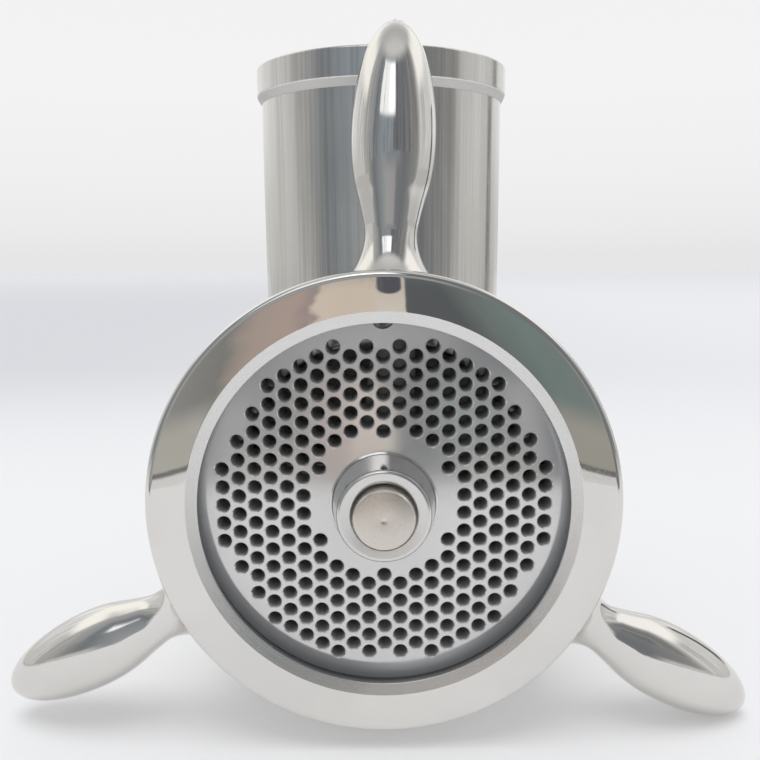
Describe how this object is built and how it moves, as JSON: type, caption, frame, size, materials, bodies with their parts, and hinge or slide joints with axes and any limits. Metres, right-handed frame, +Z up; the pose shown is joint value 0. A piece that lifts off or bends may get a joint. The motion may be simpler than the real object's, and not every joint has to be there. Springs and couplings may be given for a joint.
{
  "type": "hand crank meat grinder",
  "caption": "Bolt-down hand crank meat grinder: upright feed neck, bored plate held by a three-handled clamp ring, worm and knife inside, crank with a turned grip at the back.",
  "frame": {"origin": "centre of the foot's bolt pattern, on the foot's underside", "axes": "+Z up along the feed neck, +Y along the worm axis towards the crank, so the bored plate faces -Y, +X to the right seen from the plate's side"},
  "size_m": [0.2056, 0.2622, 0.204],
  "materials": {
    "polished_steel": "mirror-polished stainless steel",
    "satin_steel": "finely ground stainless steel",
    "stud_steel": "hardened steel, ground, a little warm in tone",
    "bush_bronze": "plain turned bearing bronze",
    "seal_rubber": "black nitrile rubber",
    "thrust_nylon": "natural nylon",
    "grip_wood": "oiled beech, turned"
  },
  "bodies": {
    "body": {"mouth_collar": "polished_steel", "barrel": "polished_steel", "feed_neck": "polished_steel", "rear_hub": "polished_steel", "saddle_foot": "polished_steel", "plate_key": "satin_steel", "rear_bush": "bush_bronze", "shaft_seal": "seal_rubber", "thrust_washer": "thrust_nylon"},
    "worm_and_crank": {"worm": "satin_steel", "worm_stud": "stud_steel", "knife": "satin_steel", "crank_arm": "polished_steel", "grip_spindle": "satin_steel", "grip_washer": "satin_steel", "grip_nut": "polished_steel"},
    "grip": {"crank_grip": "grip_wood", "grip_ferrules": "polished_steel"},
    "plate": {"hole_plate": "satin_steel", "plate_hub": "satin_steel"},
    "ring": {"clamp_ring": "polished_steel", "ring_handle_top": "polished_steel", "ring_handle_right": "polished_steel", "ring_handle_left": "polished_steel"},
    "washer": {"crank_washer": "satin_steel"},
    "wing_screw": {"crank_screw": "polished_steel"}
  },
  "joints": [
    {"name": "crank_turn", "type": "hinge", "parent": "body", "child": "worm_and_crank", "pos_m": [0, 0, 0.065], "axis": [0, -1, 0], "continuous": true},
    {"name": "grip_spin", "type": "hinge", "parent": "worm_and_crank", "child": "grip", "pos_m": [0, 0.1, 0.19], "axis": [0, -1, 0], "continuous": true},
    {"name": "plate_slide", "type": "slide", "parent": "body", "child": "plate", "axis": [0, -1, 0], "range_m": [0, 0.018]},
    {"name": "ring_turn", "type": "hinge", "parent": "plate", "child": "ring", "pos_m": [0, -0.07, 0.065], "axis": [0, -1, 0], "range_deg": [0, 1080]},
    {"name": "washer_slide", "type": "slide", "parent": "worm_and_crank", "child": "washer", "axis": [0, 1, 0], "range_m": [0, 0.012]},
    {"name": "screw_turn", "type": "hinge", "parent": "washer", "child": "wing_screw", "pos_m": [0, 0.075, 0.065], "axis": [0, 1, 0], "range_deg": [0, 2880]}
  ],
  "couplings": [
    {"joint": "plate_slide", "follows": "ring_turn", "m_per_rad": 0.00095493},
    {"joint": "washer_slide", "follows": "screw_turn", "m_per_rad": 0.00023873}
  ]
}
